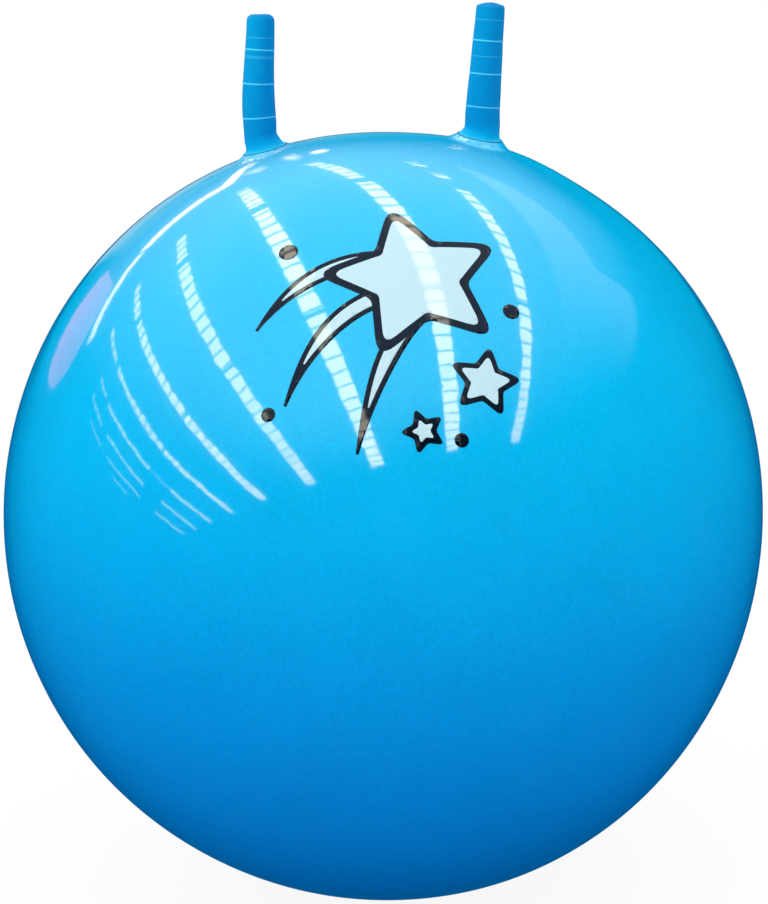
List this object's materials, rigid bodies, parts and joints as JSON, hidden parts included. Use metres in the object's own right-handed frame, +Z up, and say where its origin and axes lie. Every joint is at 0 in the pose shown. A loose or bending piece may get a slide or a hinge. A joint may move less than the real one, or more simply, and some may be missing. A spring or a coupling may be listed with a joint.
{
  "type": "hopper ball",
  "caption": "Inflatable hopper ball: a blown-up vinyl ball with two ringed hand horns on top that flex and spring back, a printed front and a stoppered air valve at the back.",
  "frame": {"origin": "middle of the flat patch that the ball rests on, on the floor", "axes": "+Z up; the printed front of the ball faces -Y and the valve is at the back, +Y; the horns stand side by side along X"},
  "size_m": [0.6, 0.6, 0.6971],
  "materials": {
    "skin_vinyl": "gloss",
    "horn_vinyl": "satin",
    "seat_vinyl": "gloss",
    "plug_plastic": "satin"
  },
  "bodies": {
    "ball": {"ball_skin": "skin_vinyl", "left_horn_root": "horn_vinyl", "right_horn_root": "horn_vinyl", "valve_seat": "seat_vinyl"},
    "left_horn": {"left_horn_grip": "horn_vinyl"},
    "right_horn": {"right_horn_grip": "horn_vinyl"},
    "plug": {"valve_plug": "plug_plastic"}
  },
  "joints": [
    {"name": "left_horn_flex", "type": "hinge", "parent": "ball", "child": "left_horn", "pos_m": [-0.0842, 0, 0.605], "axis": [1, 0, 0], "range_deg": [-25, 25], "stiffness_Nm_per_rad": 8, "deforming": ["left_horn_root"]},
    {"name": "right_horn_flex", "type": "hinge", "parent": "ball", "child": "right_horn", "pos_m": [0.0852, 0, 0.6076], "axis": [1, 0, 0], "range_deg": [-25, 25], "stiffness_Nm_per_rad": 8, "deforming": ["right_horn_root"]},
    {"name": "plug_pull", "type": "slide", "parent": "ball", "child": "plug", "axis": [0, 0.9063, -0.4226], "range_m": [0, 0.04]}
  ]
}
